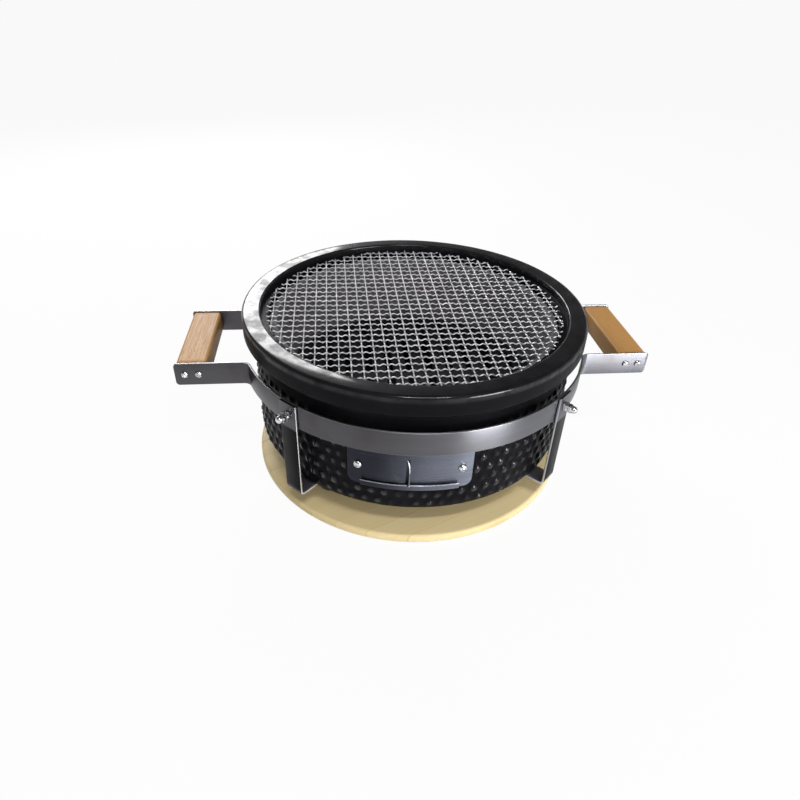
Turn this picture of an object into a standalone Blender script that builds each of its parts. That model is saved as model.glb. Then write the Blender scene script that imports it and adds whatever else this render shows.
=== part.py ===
"""Tabletop clay charcoal grill: a glazed bowl in a steel cradle with wooden handles.

Metres, +Z up. The origin is on the underside of the wooden board, below the bowl's axis.
X runs from handle to handle and -Y is the front, where the air vent is.
"""
import math

import bmesh
import bpy
from mathutils import Matrix, Vector

mm = 0.001
gap = 0.3 * mm                      # clearance between two pieces that touch

# Outer bowl of glazed clay, from which the other pieces take their radii
bowl_radius = 168.5 * mm            # below the collar
collar_overhang = 11.5 * mm
rim_width = 19 * mm
bowl_height = 141.6 * mm
collar_height = 20 * mm
collar_undercut = 10 * mm
bowl_corner = 8 * mm
rim_round = 4 * mm
mesh_recess = 8.7 * mm              # from the rim's top down to the ledge
bowl_wall = 16 * mm
bowl_floor = 13.5 * mm
floor_cove = 1 * mm
base_recess = 3 * mm
base_ring_gap = 4 * mm              # the recess ends this far inside the leg plates
bowl_turn = -6.9                    # degrees, vent's centre from the cradle's front

# Inner fire bowl and charcoal grate
liner_wall = 7 * mm                 # at its top edge
liner_drop = 5.3 * mm               # its top lies this far below the mesh ledge
liner_taper = 3 * mm
liner_ledge = 7 * mm
grate_thickness = 7 * mm
grate_height = 29.1 * mm            # underside of the grate above the bowl's floor
grate_border = 12 * mm
slot_count = 11
slot_width = 9 * mm

# Board
board_margin = 7 * mm               # the board stands out past the bowl by this
board_thickness = 10 * mm
board_edge = 3.5 * mm

# Cradle of flat steel: legs, straps and arms
strap_standoff = 11.5 * mm          # from the bowl to the strap's inner face
strap_width = 24.6 * mm
strap_thickness = 2 * mm
strap_bend = 6 * mm
arm_corner = 4 * mm
leg_angle = 45                      # degrees from the front, to each side
leg_width = 21 * mm
leg_thickness = 2.3 * mm
leg_height = 107.7 * mm
leg_bend = 3 * mm
plate_length = 48.5 * mm            # how far a leg's foot plate reaches in under the bowl

# Rubber feet under the leg plates
foot_radius = 12 * mm
foot_height = 25.2 * mm
foot_setback = 14 * mm              # from a plate's inner end to its foot's centre

# Wooden handles
handle_length = 110.6 * mm
handle_width = 30 * mm
handle_height = 22.4 * mm
handle_overhang = 1.5 * mm          # the arm's end stands past the wood by this
handle_round = 3 * mm
finger_gap = 33 * mm                # between the rim and the wood
screw_spacing = 13.4 * mm

# Woven cooking mesh
mesh_play = 5.3 * mm                # between the mesh and the rim round it
mesh_wires = 17                     # wires each way
wire_width = 2 * mm
wire_end = 5 * mm                   # a wire's free end past its last crossing

# Air vent: frame with two rails, and a door that slides round the bowl
vent_width = 40.6                   # degrees round the bowl
vent_height = 46.4 * mm
vent_corner = 8 * mm
vent_level = 53 * mm                # its middle above the bowl's underside
vent_thickness = 1.5 * mm
track_width = 31                    # degrees
track_margin = 1.2 * mm             # frame showing above and below the rails
rail_thickness = 3 * mm
lip_thickness = 1.4 * mm
lip_cover = 3.4 * mm                # how far a lip laps over the door
rail_stop = 0.7                     # degrees, the closed end of a rail
door_width = 14.6                   # degrees
door_thickness = 1.2 * mm
ear_reach = 6.6 * mm
ear_round = 5 * mm
port_width = 34 * mm
port_height = 30 * mm
vent_screw_angle = 16.6             # degrees from the vent's middle
liner_port_level = 6.1 * mm         # its lower edge above the bowl's floor

# Fasteners
screw_radius = 1.8 * mm
screw_length = 18 * mm
screw_head_radius = 3.7 * mm
screw_head_height = 2.6 * mm
bolt_radius = 2.5 * mm
bolt_head_radius = 5 * mm
bolt_head_height = 3 * mm
nut_radius = 5.2 * mm
nut_height = 4.4 * mm
cap_height = 8.5 * mm
bolt_end = 4 * mm                   # thread inside the cap nut
vent_screw_radius = 2 * mm
vent_screw_length = 10 * mm
vent_head_radius = 4.3 * mm
vent_head_height = 3.4 * mm
foot_screw_radius = 1.8 * mm
foot_screw_length = 15 * mm
foot_head_radius = 4 * mm
foot_head_depth = 2 * mm

round_steps = 60

# Radii, worked out from the bowl
rim_radius = bowl_radius + collar_overhang
rim_inner_radius = rim_radius - rim_width
mesh_radius = rim_inner_radius - mesh_play
board_radius = bowl_radius + board_margin
strap_radius = bowl_radius + strap_standoff
arm_reach = rim_radius + finger_gap + handle_width + handle_overhang
plate_reach = bowl_radius - plate_length
foot_reach = plate_reach + foot_setback
base_ring_radius = plate_reach - base_ring_gap

# Heights, worked out from the board up
board_top = board_thickness
foot_bottom = board_top + gap
plate_bottom = foot_bottom + foot_height + gap
plate_top = plate_bottom + leg_thickness
bowl_base = plate_top + gap
rim_top = bowl_base + bowl_height
collar_bottom = rim_top - collar_height
ledge_top = rim_top - mesh_recess
floor_top = bowl_base + bowl_floor
bowl_inner_radius = bowl_radius - bowl_wall
strap_top = plate_bottom + leg_height
strap_bottom = strap_top - strap_width
strap_middle = strap_top - strap_width / 2
liner_radius = bowl_inner_radius - 2 * gap
liner_bottom = floor_top + gap
liner_top = ledge_top - liner_drop
grate_bottom = floor_top + grate_height
vent_middle = bowl_base + vent_level
frame_inner_radius = bowl_radius + gap
frame_outer_radius = frame_inner_radius + vent_thickness
door_inner_radius = frame_outer_radius + gap
door_outer_radius = door_inner_radius + door_thickness
lip_radius = door_outer_radius + 2 * gap
rail_inside = vent_height / 2 - track_margin - rail_thickness
vent_angle = -90 + bowl_turn
door_angle = vent_angle - track_width / 2 + rail_stop + door_width / 2 + 0.2


def clear_scene():
    for thing in list(bpy.data.objects):
        bpy.data.objects.remove(thing, do_unlink=True)


def material(name, colour, roughness, metallic=0.0):
    made = bpy.data.materials.new(name)
    made.use_nodes = True
    shader = made.node_tree.nodes["Principled BSDF"]
    shader.inputs["Base Color"].default_value = (*colour, 1)
    shader.inputs["Roughness"].default_value = roughness
    shader.inputs["Metallic"].default_value = metallic
    return made


def add_object(name, bm, look=None):
    """Turns a bmesh into an object; without a material it is a cutter."""
    bmesh.ops.recalc_face_normals(bm, faces=bm.faces)
    mesh = bpy.data.meshes.new(name)
    bm.to_mesh(mesh)
    bm.free()
    made = bpy.data.objects.new(name, mesh)
    bpy.context.collection.objects.link(made)
    if look is None:
        made.hide_render = True
        made.display_type = "WIRE"
    else:
        mesh.materials.append(look)
        mesh.shade_smooth()
        mesh.set_sharp_from_angle(angle=math.radians(32))
    return made


def boolean(target, other, operation="DIFFERENCE"):
    step = target.modifiers.new(other.name, "BOOLEAN")
    step.operation = operation
    step.object = other
    step.solver = "EXACT"


def rounded(corners, steps=3):
    """Outline with each (x, y, radius) corner turned into an arc of that radius."""
    outline = []
    count = len(corners)
    for index, (x, y, radius) in enumerate(corners):
        here = Vector((x, y))
        if radius <= 0:
            outline.append(here)
            continue
        before = (Vector(corners[index - 1][:2]) - here).normalized()
        after = (Vector(corners[(index + 1) % count][:2]) - here).normalized()
        half = before.angle(after) / 2
        centre = here + (before + after).normalized() * (radius / math.sin(half))
        start = here + before * (radius / math.tan(half)) - centre
        sweep = start.angle_signed(here + after * (radius / math.tan(half)) - centre)
        for step in range(steps + 1):
            turn = Matrix.Rotation(-sweep * step / steps, 2)
            outline.append(centre + turn @ start)
    return outline


def loft(sections, ring=False):
    """Solid through sections of equal point count; a ring joins the last to the first."""
    bm = bmesh.new()
    rows = [[bm.verts.new(point) for point in section] for section in sections]
    pairs = list(zip(rows, rows[1:]))
    if ring:
        pairs.append((rows[-1], rows[0]))
    for lower, upper in pairs:
        for index in range(len(lower)):
            following = (index + 1) % len(lower)
            bm.faces.new((lower[index], lower[following], upper[following], upper[index]))
    if not ring:
        bm.faces.new(rows[0])
        bm.faces.new(rows[-1])
    bmesh.ops.remove_doubles(bm, verts=bm.verts, dist=1e-6)
    return bm


def around(outline, degrees):
    """The (radius, height) outline stood up at an angle round the Z axis."""
    angle = math.radians(degrees)
    return [Vector((r * math.cos(angle), r * math.sin(angle), z)) for r, z in outline]


def turned(outline, steps=round_steps):
    """Full turn of a (radius, height) outline round the Z axis."""
    return loft([around(outline, 360 * step / steps) for step in range(steps)], ring=True)


def sector(outline, first, last, steps):
    """Part turn of a (radius, height) outline, from one angle to another."""
    span = last - first
    return loft([around(outline, first + span * step / steps) for step in range(steps + 1)])


def block(low, high):
    bm = bmesh.new()
    bmesh.ops.create_cube(bm, size=1)
    size = Vector(high) - Vector(low)
    bmesh.ops.scale(bm, vec=size, verts=bm.verts)
    bmesh.ops.translate(bm, vec=(Vector(low) + Vector(high)) / 2, verts=bm.verts)
    return bm


def prism(outline, low, high):
    """A flat outline in XY pulled up from one height to another."""
    return loft([[Vector((x, y, z)) for x, y in outline] for z in (low, high)])


def rod_cutter(name, radius, length, place, direction, sides=12):
    """Straight drill through a point, along a direction."""
    bm = bmesh.new()
    bmesh.ops.create_cone(bm, cap_ends=True, segments=sides, radius1=radius,
                          radius2=radius, depth=length)
    made = add_object(name, bm)
    aim(made, place, direction)
    return made


def aim(thing, place, direction):
    """Puts an object's origin at a place with its +Z along a direction."""
    thing.location = place
    thing.rotation_mode = "QUATERNION"
    thing.rotation_quaternion = Vector(direction).to_track_quat("Z", "Y")


def radial(degrees):
    angle = math.radians(degrees)
    return Vector((math.cos(angle), math.sin(angle), 0))


def at(degrees, radius, height):
    return radial(degrees) * radius + Vector((0, 0, height))


def turn_to(thing, degrees):
    """Turns an object modelled along +X to an angle round the Z axis."""
    thing.rotation_euler = (0, 0, math.radians(degrees))


# Board

def make_board(look):
    outline = rounded([(0, 0, 0), (board_radius, 0, board_edge),
                       (board_radius, board_thickness, board_edge), (0, board_thickness, 0)])
    add_object("base_board", turned(outline), look)


# Clay bowl with collar, ledge and air port

def make_bowl(look):
    shoulder = collar_bottom - collar_undercut
    outline = rounded([
        (0, bowl_base + base_recess, 0),
        (base_ring_radius - base_recess, bowl_base + base_recess, 0),
        (base_ring_radius, bowl_base, 0),
        (bowl_radius, bowl_base, bowl_corner),
        (bowl_radius, shoulder, collar_undercut / 2),
        (rim_radius, collar_bottom, collar_undercut / 3),
        (rim_radius, rim_top, rim_round),
        (rim_inner_radius, rim_top, rim_round / 2),
        (rim_inner_radius, ledge_top, 0),
        (bowl_inner_radius, ledge_top, rim_round / 3),
        (bowl_inner_radius, floor_top, floor_cove),
        (0, floor_top, 0)])
    bowl = add_object("ceramic_bowl", turned(outline), look)
    boolean(bowl, port_cutter("bowl_port", bowl_inner_radius - bowl_wall, bowl_radius + bowl_wall,
                              port_low, port_low + port_height))
    for side in (-1, 1):
        angle = vent_angle + side * vent_screw_angle
        drill = rod_cutter("bowl_screw_hole_" + side_name(side), vent_screw_radius + gap,
                           2 * vent_screw_length, at(angle, bowl_radius, vent_middle),
                           radial(angle))
        boolean(bowl, drill)
    return bowl


port_low = vent_middle - port_height / 2


def port_cutter(name, inner, outer, low, high):
    """Box cutter that points outward through a wall at the door's angle."""
    cutter = add_object(name, block((inner, -port_width / 2, low), (outer, port_width / 2, high)))
    turn_to(cutter, door_angle)
    return cutter


def side_name(side):
    return "left" if side < 0 else "right"


# Inner fire bowl and its charcoal grate

def make_liner(look):
    inner = liner_radius - liner_wall
    seat = inner - liner_taper
    outline = rounded([
        (seat - liner_ledge, liner_bottom, 0),
        (liner_radius - floor_cove, liner_bottom, 0),
        (liner_radius, liner_bottom + floor_cove, 0),
        (liner_radius, liner_top, 1.5 * mm),
        (inner, liner_top, 1.5 * mm),
        (seat, grate_bottom - gap, 0),
        (seat - liner_ledge, grate_bottom - gap, 0)], steps=2)
    liner = add_object("fire_bowl", turned(outline), look)
    boolean(liner, port_cutter("liner_port", seat - 2 * liner_ledge, liner_radius + liner_wall,
                               floor_top + liner_port_level, port_low + port_height))
    return liner


def make_grate(look):
    radius = liner_radius - liner_wall - liner_taper - 2 * gap
    outline = [(0, grate_bottom), (radius, grate_bottom),
               (radius, grate_bottom + grate_thickness), (0, grate_bottom + grate_thickness)]
    grate = add_object("charcoal_grate", turned(outline, 48), look)
    pitch = 2 * (radius - grate_border) / slot_count
    for index in range(slot_count):
        x = (index - (slot_count - 1) / 2) * pitch
        half = math.sqrt((radius - grate_border) ** 2 - (abs(x) + slot_width / 2) ** 2)
        for side in (-1, 1):
            ends = sorted((side * slot_width, side * half))
            slot = block((x - slot_width / 2, ends[0], grate_bottom - grate_border),
                         (x + slot_width / 2, ends[1], grate_bottom + grate_thickness + grate_border))
            boolean(grate, add_object(f"grate_slot_{side_name(side)}_{index + 1}", slot))
    return grate


# Woven mesh, one closed net of crimped square wire

def make_mesh(look):
    """Each crossing is a small block whose lower half carries one wire and upper half the other."""
    pitch = 2 * mesh_radius / mesh_wires
    base = ledge_top + gap
    half = wire_width / 2
    levels = (base, base + wire_width, base + 2 * wire_width)
    reach = mesh_radius - wire_end
    bm = bmesh.new()
    places = [(index - (mesh_wires - 1) / 2) * pitch for index in range(mesh_wires)]
    crossings = {}
    for i, x in enumerate(places):
        for j, y in enumerate(places):
            if math.hypot(x, y) <= reach:
                crossings[i, j] = {
                    (sx, sy, k): bm.verts.new((x + sx * half, y + sy * half, level))
                    for sx in (-1, 1) for sy in (-1, 1) for k, level in enumerate(levels)}
    for (i, j), corner in crossings.items():
        weave(bm, crossings, corner, i, j)
    return add_object("cooking_mesh", bm, look)


def weave(bm, crossings, corner, i, j):
    """Faces of one crossing, and the stretches of wire on to the next ones."""
    x_layer = (i + j) % 2
    for k in (0, 2):
        bm.faces.new([corner[sx, sy, k] for sx, sy in ((-1, -1), (1, -1), (1, 1), (-1, 1))])
    for axis, layer in ((0, x_layer), (1, 1 - x_layer)):
        for side in (-1, 1):
            idle = side_corners(corner, axis, side, 1 - layer)
            bm.faces.new(idle)
            live = side_corners(corner, axis, side, layer)
            step = (side, 0) if axis == 0 else (0, side)
            other = crossings.get((i + step[0], j + step[1]))
            if other is None:
                free_end(bm, live, step, layer)
            elif side > 0:
                far = side_corners(other, axis, -1, 1 - layer)
                bridge(bm, live, far)


def side_corners(corner, axis, side, layer):
    """Four corners of a crossing's side face, in one half of its height."""
    ring = ((-1, layer), (1, layer), (1, layer + 1), (-1, layer + 1))
    if axis == 0:
        return [corner[side, across, k] for across, k in ring]
    return [corner[across, side, k] for across, k in ring]


def bridge(bm, near, far):
    for index in range(4):
        following = (index + 1) % 4
        bm.faces.new((near[index], near[following], far[following], far[index]))


def free_end(bm, live, step, layer):
    """A wire's cut end, which levels out towards the middle of the net."""
    shift = Vector((step[0] * wire_end, step[1] * wire_end, 0))
    tip = [bm.verts.new(vert.co + shift) for vert in live]
    bridge(bm, live, tip)
    bm.faces.new(tip)


# Vent frame with its rails, and the sliding door

def rail_outline(side):
    """L section of a rail: a web off the frame and a lip over the door."""
    outer = side * (vent_height / 2 - track_margin)
    web = side * rail_inside
    lip = side * (rail_inside - lip_cover)
    root = frame_outer_radius - vent_thickness / 3
    return [(root, vent_middle + outer), (lip_radius + lip_thickness, vent_middle + outer),
            (lip_radius + lip_thickness, vent_middle + lip), (lip_radius, vent_middle + lip),
            (lip_radius, vent_middle + web), (root, vent_middle + web)]


def stop_outline(side):
    web = vent_middle + side * (rail_inside + rail_thickness / 2)
    lip = vent_middle + side * (rail_inside - lip_cover)
    root = frame_outer_radius - vent_thickness / 3
    top = lip_radius + lip_thickness / 2
    return [(root, web), (top, web), (top, lip), (root, lip)]


def make_vent_frame(look):
    half = vent_width / 2
    wall = [(frame_inner_radius, vent_middle - vent_height / 2),
            (frame_outer_radius, vent_middle - vent_height / 2),
            (frame_outer_radius, vent_middle + vent_height / 2),
            (frame_inner_radius, vent_middle + vent_height / 2)]
    frame = add_object("vent_frame", sector(wall, vent_angle - half, vent_angle + half, 16), look)
    chord = frame_outer_radius * math.sin(math.radians(half)) - gap
    outline = rounded([(sx * chord, sy * vent_height / 2 * 0.998, vent_corner)
                       for sx, sy in ((-1, -1), (1, -1), (1, 1), (-1, 1))])
    trim = add_object("vent_frame_outline", prism(outline, bowl_radius / 2, 1.5 * bowl_radius))
    aim_trim(trim)
    boolean(frame, trim, "INTERSECT")
    for side in (-1, 1):
        for name, section, first, last, steps in rail_pieces(side):
            made = add_object(name, sector(section, first, last, steps))
            boolean(frame, made, "UNION")
        angle = vent_angle + side * vent_screw_angle
        drill = rod_cutter("frame_screw_hole_" + side_name(side), vent_screw_radius + gap,
                           4 * vent_thickness, at(angle, frame_outer_radius, vent_middle),
                           radial(angle))
        boolean(frame, drill)
    boolean(frame, port_cutter("frame_window", bowl_radius - vent_thickness,
                               frame_outer_radius + vent_thickness / 2,
                               port_low, port_low + port_height))
    return frame


def rail_pieces(side):
    """One rail and its two closed ends, as name, section, first and last angle, steps."""
    level = "lower" if side < 0 else "upper"
    first = vent_angle - track_width / 2
    last = vent_angle + track_width / 2
    return [
        (f"rail_{level}", rail_outline(side), first, last, 12),
        (f"rail_{level}_stop_left", stop_outline(side), first, first + rail_stop, 1),
        (f"rail_{level}_stop_right", stop_outline(side), last - rail_stop, last, 1)]


def aim_trim(trim):
    """Turns a prism so that it points outward at the vent with its Y axis upright."""
    out = radial(vent_angle)
    up = Vector((0, 0, 1))
    across = up.cross(out)
    trim.matrix_world = Matrix((
        (across.x, up.x, out.x, 0), (across.y, up.y, out.y, 0),
        (across.z, up.z, out.z, vent_middle), (0, 0, 0, 1)))


def make_vent_door(look):
    """Modelled about angle zero, so that its origin lies on the bowl's axis."""
    tall = rail_inside - gap
    half = door_width / 2
    wall = [(door_inner_radius, vent_middle - tall), (door_outer_radius, vent_middle - tall),
            (door_outer_radius, vent_middle + tall), (door_inner_radius, vent_middle + tall)]
    door = add_object("vent_door", sector(wall, -half, half, 8), look)
    root = door_inner_radius + door_thickness / 3
    tip = door_outer_radius + ear_reach
    rise = rail_inside - lip_cover - 2 * gap
    outline = rounded([(root, -rise, 0), (tip, -rise, ear_round), (tip, rise, ear_round),
                       (root, rise, 0)], steps=4)
    ear = loft([[Vector((r, y, z + vent_middle)) for r, z in outline]
                for y in (-door_thickness, 0)])
    edge = add_object("vent_door_ear", ear)
    edge.rotation_euler = (0, 0, math.radians(half - 0.05))
    edge.parent = door
    boolean(door, edge, "UNION")
    turn_to(door, door_angle)
    return door


# Cradle of flat steel

def strip_path(width_points, offset):
    """Points of a path shifted sideways, mitred at each corner."""
    shifted = []
    for index, here in enumerate(width_points):
        before = width_points[max(index - 1, 0)]
        after = width_points[min(index + 1, len(width_points) - 1)]
        along_in = (here - before) if index > 0 else (after - here)
        along_out = (after - here) if index < len(width_points) - 1 else along_in
        normal_in = Vector((-along_in.y, along_in.x)).normalized()
        normal_out = Vector((-along_out.y, along_out.x)).normalized()
        mitre = (normal_in + normal_out).normalized()
        shifted.append(here + mitre * (offset / mitre.dot(normal_in)))
    return shifted


def strap_centreline():
    """Arm, bend, arc round the front of the bowl, bend, arm."""
    radius = strap_radius + strap_thickness / 2
    arm_y = -(handle_length / 2 + gap + strap_thickness / 2)
    meeting = math.asin(-arm_y / radius)
    corner_x = radius * math.cos(meeting)
    blend = 2 * strap_bend / radius
    first = -math.pi + meeting + blend
    last = -meeting - blend
    steps = 30
    arc = [Vector((radius * math.cos(first + (last - first) * k / steps),
                   radius * math.sin(first + (last - first) * k / steps)))
           for k in range(steps + 1)]
    left = bend_points(Vector((-corner_x - 2 * strap_bend, arm_y)), Vector((-corner_x, arm_y)),
                       arc[0])
    right = [Vector((-point.x, point.y)) for point in reversed(left)]
    return [Vector((-arm_reach, arm_y))] + left + arc[1:-1] + right + [Vector((arm_reach, arm_y))]


def bend_points(start, corner, end, steps=4):
    """Smooth bend from start to end that is drawn towards the corner."""
    points = []
    for k in range(steps + 1):
        t = k / steps
        points.append(start * (1 - t) ** 2 + corner * (2 * t * (1 - t)) + end * t ** 2)
    return points


def arm_end(steps=3):
    """Distances back from an arm's tip, and how far its corners draw in at each."""
    turns = [math.pi / 2 * k / steps for k in range(steps + 1)]
    return [(arm_corner * (1 - math.sin(a)), arm_corner * (1 - math.cos(a))) for a in turns]


def make_strap(name, look, turn):
    path = strap_centreline()
    tip = path.pop()
    path.pop(0)
    ends = arm_end()
    insets = [0] * (len(path) + 2 * len(ends))
    for k, (back, inset) in enumerate(ends):
        path.append(tip - Vector((back, 0)))
        path.insert(0, Vector((back - tip.x, tip.y)))
        insets[k] = insets[-1 - k] = ends[-1 - k][1]
    inner = strip_path(path, strap_thickness / 2)
    outer = strip_path(path, -strap_thickness / 2)
    sections = [[Vector((*a, strap_bottom + inset)), Vector((*b, strap_bottom + inset)),
                 Vector((*b, strap_top - inset)), Vector((*a, strap_top - inset))]
                for a, b, inset in zip(inner, outer, insets)]
    strap = add_object(name, loft(sections), look)
    for side in (-1, 1):
        angle = -90 + side * leg_angle
        drills = [rod_cutter(f"{name}_bolt_hole_{side_name(side)}", bolt_radius + gap,
                             8 * strap_thickness, at(angle, strap_radius, strap_middle),
                             radial(angle))]
        for number, x in enumerate(screw_places()):
            drills.append(rod_cutter(f"{name}_screw_hole_{side_name(side)}_{number + 1}",
                                     screw_radius + gap, 8 * strap_thickness,
                                     (side * x, path[0].y, strap_middle), (0, 1, 0)))
        for drill in drills:
            drill.parent = strap
            boolean(strap, drill)
    turn_to(strap, turn)
    return strap


def screw_places():
    """Distances from the axis of an arm's two screws, across the middle of the wood."""
    middle = arm_reach - handle_overhang - handle_width / 2
    return (middle - screw_spacing / 2, middle + screw_spacing / 2)


def make_leg(name, look, degrees):
    """Flat strip down the outside of the strap, bent in under the bowl."""
    face = strap_radius + strap_thickness + gap + leg_thickness / 2
    level = plate_bottom + leg_thickness / 2
    corner = Vector((face, level))
    path = [Vector((face, strap_top))]
    path += bend_points(corner + Vector((0, leg_bend)), corner, corner - Vector((leg_bend, 0)))
    path += [Vector((plate_reach, level))]
    inner = strip_path(path, -leg_thickness / 2)
    outer = strip_path(path, leg_thickness / 2)
    half = leg_width / 2
    sections = [[Vector((a.x, -half, a.y)), Vector((b.x, -half, b.y)),
                 Vector((b.x, half, b.y)), Vector((a.x, half, a.y))]
                for a, b in zip(inner, outer)]
    leg = add_object(name, loft(sections), look)
    bolt_hole = rod_cutter(name + "_bolt_hole", bolt_radius + gap, 8 * leg_thickness,
                           (face, 0, strap_middle), (1, 0, 0))
    screw_hole = add_object(name + "_screw_hole", countersink())
    screw_hole.location = (foot_reach, 0, plate_top)
    for drill in (bolt_hole, screw_hole):
        drill.parent = leg
        boolean(leg, drill)
    turn_to(leg, degrees)
    return leg


def countersink():
    """Cone cutter for a flush screw head, with its origin at the plate's upper face."""
    low = foot_screw_radius + gap
    slope = (foot_head_radius - foot_screw_radius) / (foot_head_depth - gap)
    top = low + slope * 2 * foot_head_depth
    return turned([(0, -leg_thickness * 1.5), (low, -leg_thickness * 1.5),
                   (low, -foot_head_depth), (top, foot_head_depth), (0, foot_head_depth)], 12)


def make_handle(name, look, side):
    """Bar of wood between the two arms, drilled at each end for its screws."""
    outer = arm_reach - handle_overhang
    half = handle_height / 2
    corners = rounded([(outer - handle_width, strap_middle - half, handle_round),
                       (outer, strap_middle - half, handle_round),
                       (outer, strap_middle + half, handle_round),
                       (outer - handle_width, strap_middle + half, handle_round)])
    long = handle_length / 2
    handle = add_object(name, loft([[Vector((side * x, y, z)) for x, z in corners]
                                    for y in (-long, long)]), look)
    for end in (-1, 1):
        for number, x in enumerate(screw_places()):
            drill = rod_cutter(f"{name}_hole_{end_name(end)}_{number + 1}", screw_radius + gap,
                               2 * screw_length, (side * x, end * long, strap_middle), (0, 1, 0))
            boolean(handle, drill)
    return handle


def end_name(end):
    return "front" if end < 0 else "rear"


# Fasteners and feet, each turned about its own axis

def fastener(name, outline, look, place, direction, steps=12):
    made = add_object(name, turned(outline, steps), look)
    aim(made, place, direction)
    return made


def screw_outline(radius, length, head_radius, head_height):
    """Round-headed screw: the head's underside is at zero and the shank runs down."""
    return [(0, -length), (radius, -length), (radius, 0), (head_radius, 0),
            (head_radius, head_height * 0.35), (head_radius * 0.72, head_height * 0.85),
            (0, head_height)]


def make_handle_screws(look):
    outline = screw_outline(screw_radius, screw_length, screw_head_radius, screw_head_height)
    seat = handle_length / 2 + gap + strap_thickness + gap
    for side in (-1, 1):
        for end in (-1, 1):
            for number, x in enumerate(screw_places()):
                name = f"handle_screw_{side_name(side)}_{end_name(end)}_{number + 1}"
                fastener(name, outline, look, (side * x, end * seat, strap_middle), (0, end, 0))


def make_leg_fasteners(look, degrees, label):
    """Bolt from inside the strap, hex nut against the leg and a domed cap nut."""
    head_seat = strap_radius - gap
    nut_seat = strap_radius + strap_thickness + gap + leg_thickness + gap
    cap_seat = nut_seat + nut_height + gap
    length = cap_seat + bolt_end - head_seat
    bolt = [(0, -bolt_head_height), (bolt_head_radius * 0.8, -bolt_head_height),
            (bolt_head_radius, -bolt_head_height * 0.5), (bolt_head_radius, 0),
            (bolt_radius, 0), (bolt_radius, length), (0, length)]
    out = radial(degrees)
    fastener("leg_bolt_" + label, bolt, look, at(degrees, head_seat, strap_middle), out)
    bore = (bolt_radius + gap) / math.cos(math.pi / 6)
    nut = [(bore, 0), (nut_radius, 0), (nut_radius, nut_height), (bore, nut_height)]
    fastener("leg_nut_" + label, nut, look, at(degrees, nut_seat, strap_middle), out, 6)
    well = bolt_end + 2 * gap
    cap = [(bolt_radius + 2 * gap, 0), (nut_radius * 0.92, 0),
           (nut_radius * 0.92, cap_height * 0.35), (nut_radius * 0.8, cap_height * 0.68),
           (nut_radius * 0.45, cap_height * 0.94), (0, cap_height), (0, well),
           (bolt_radius + 2 * gap, well)]
    fastener("leg_cap_nut_" + label, cap, look, at(degrees, cap_seat, strap_middle), out)


def make_foot(look, screw_look, degrees, label):
    """Rubber foot under a leg's plate, held by a flush screw from above."""
    bore = foot_screw_radius + gap
    hole_top = foot_height - (foot_screw_length - leg_thickness) - 2 * gap
    outline = [(0, 0), (foot_radius * 0.86, 0), (foot_radius, foot_height * 0.2),
               (foot_radius, foot_height), (bore, foot_height), (bore, hole_top), (0, hole_top)]
    foot = add_object("foot_" + label, turned(outline, 20), look)
    foot.location = at(degrees, foot_reach, foot_bottom)
    screw = [(0, -foot_screw_length), (foot_screw_radius, -foot_screw_length),
             (foot_screw_radius, -foot_head_depth), (foot_head_radius, -gap), (0, -gap)]
    fastener("foot_screw_" + label, screw, screw_look, at(degrees, foot_reach, plate_top),
             (0, 0, 1))


def make_vent_screws(look):
    outline = screw_outline(vent_screw_radius, vent_screw_length - gap, vent_head_radius,
                            vent_head_height)
    for side in (-1, 1):
        angle = vent_angle + side * vent_screw_angle
        fastener("vent_screw_" + side_name(side), outline, look,
                 at(angle, frame_outer_radius + gap, vent_middle), radial(angle), 14)


def build():
    clear_scene()
    clay = material("black_glazed_clay", (0.012, 0.011, 0.014), 0.25)
    fireclay = material("grey_fireclay", (0.19, 0.18, 0.19), 0.8)
    iron = material("black_cast_iron", (0.02, 0.02, 0.022), 0.6, 0.6)
    steel = material("brushed_steel", (0.48, 0.48, 0.5), 0.32, 1.0)
    bright = material("bright_steel", (0.75, 0.75, 0.77), 0.18, 1.0)
    wire = material("galvanised_wire", (0.7, 0.7, 0.72), 0.35, 1.0)
    oak = material("oiled_handle_wood", (0.5, 0.28, 0.11), 0.5)
    pine = material("pale_pine", (0.72, 0.56, 0.3), 0.55)
    rubber = material("black_rubber", (0.02, 0.015, 0.012), 0.8)

    make_board(pine)
    make_bowl(clay)
    make_liner(fireclay)
    make_grate(iron)
    make_mesh(wire)
    make_vent_frame(steel)
    make_vent_door(steel)
    make_vent_screws(bright)
    make_strap("front_strap", steel, 0)
    make_strap("rear_strap", steel, 180)
    make_handle("handle_left", oak, -1)
    make_handle("handle_right", oak, 1)
    make_handle_screws(bright)
    corners = {"front_left": -90 - leg_angle, "front_right": -90 + leg_angle,
               "rear_right": 90 - leg_angle, "rear_left": 90 + leg_angle}
    for label, degrees in corners.items():
        make_leg("leg_" + label, steel, degrees)
        make_leg_fasteners(bright, degrees, label)
        make_foot(rubber, bright, degrees, label)


build()
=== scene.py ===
import math

import bmesh
import bpy
from mathutils import Matrix, Vector


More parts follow.
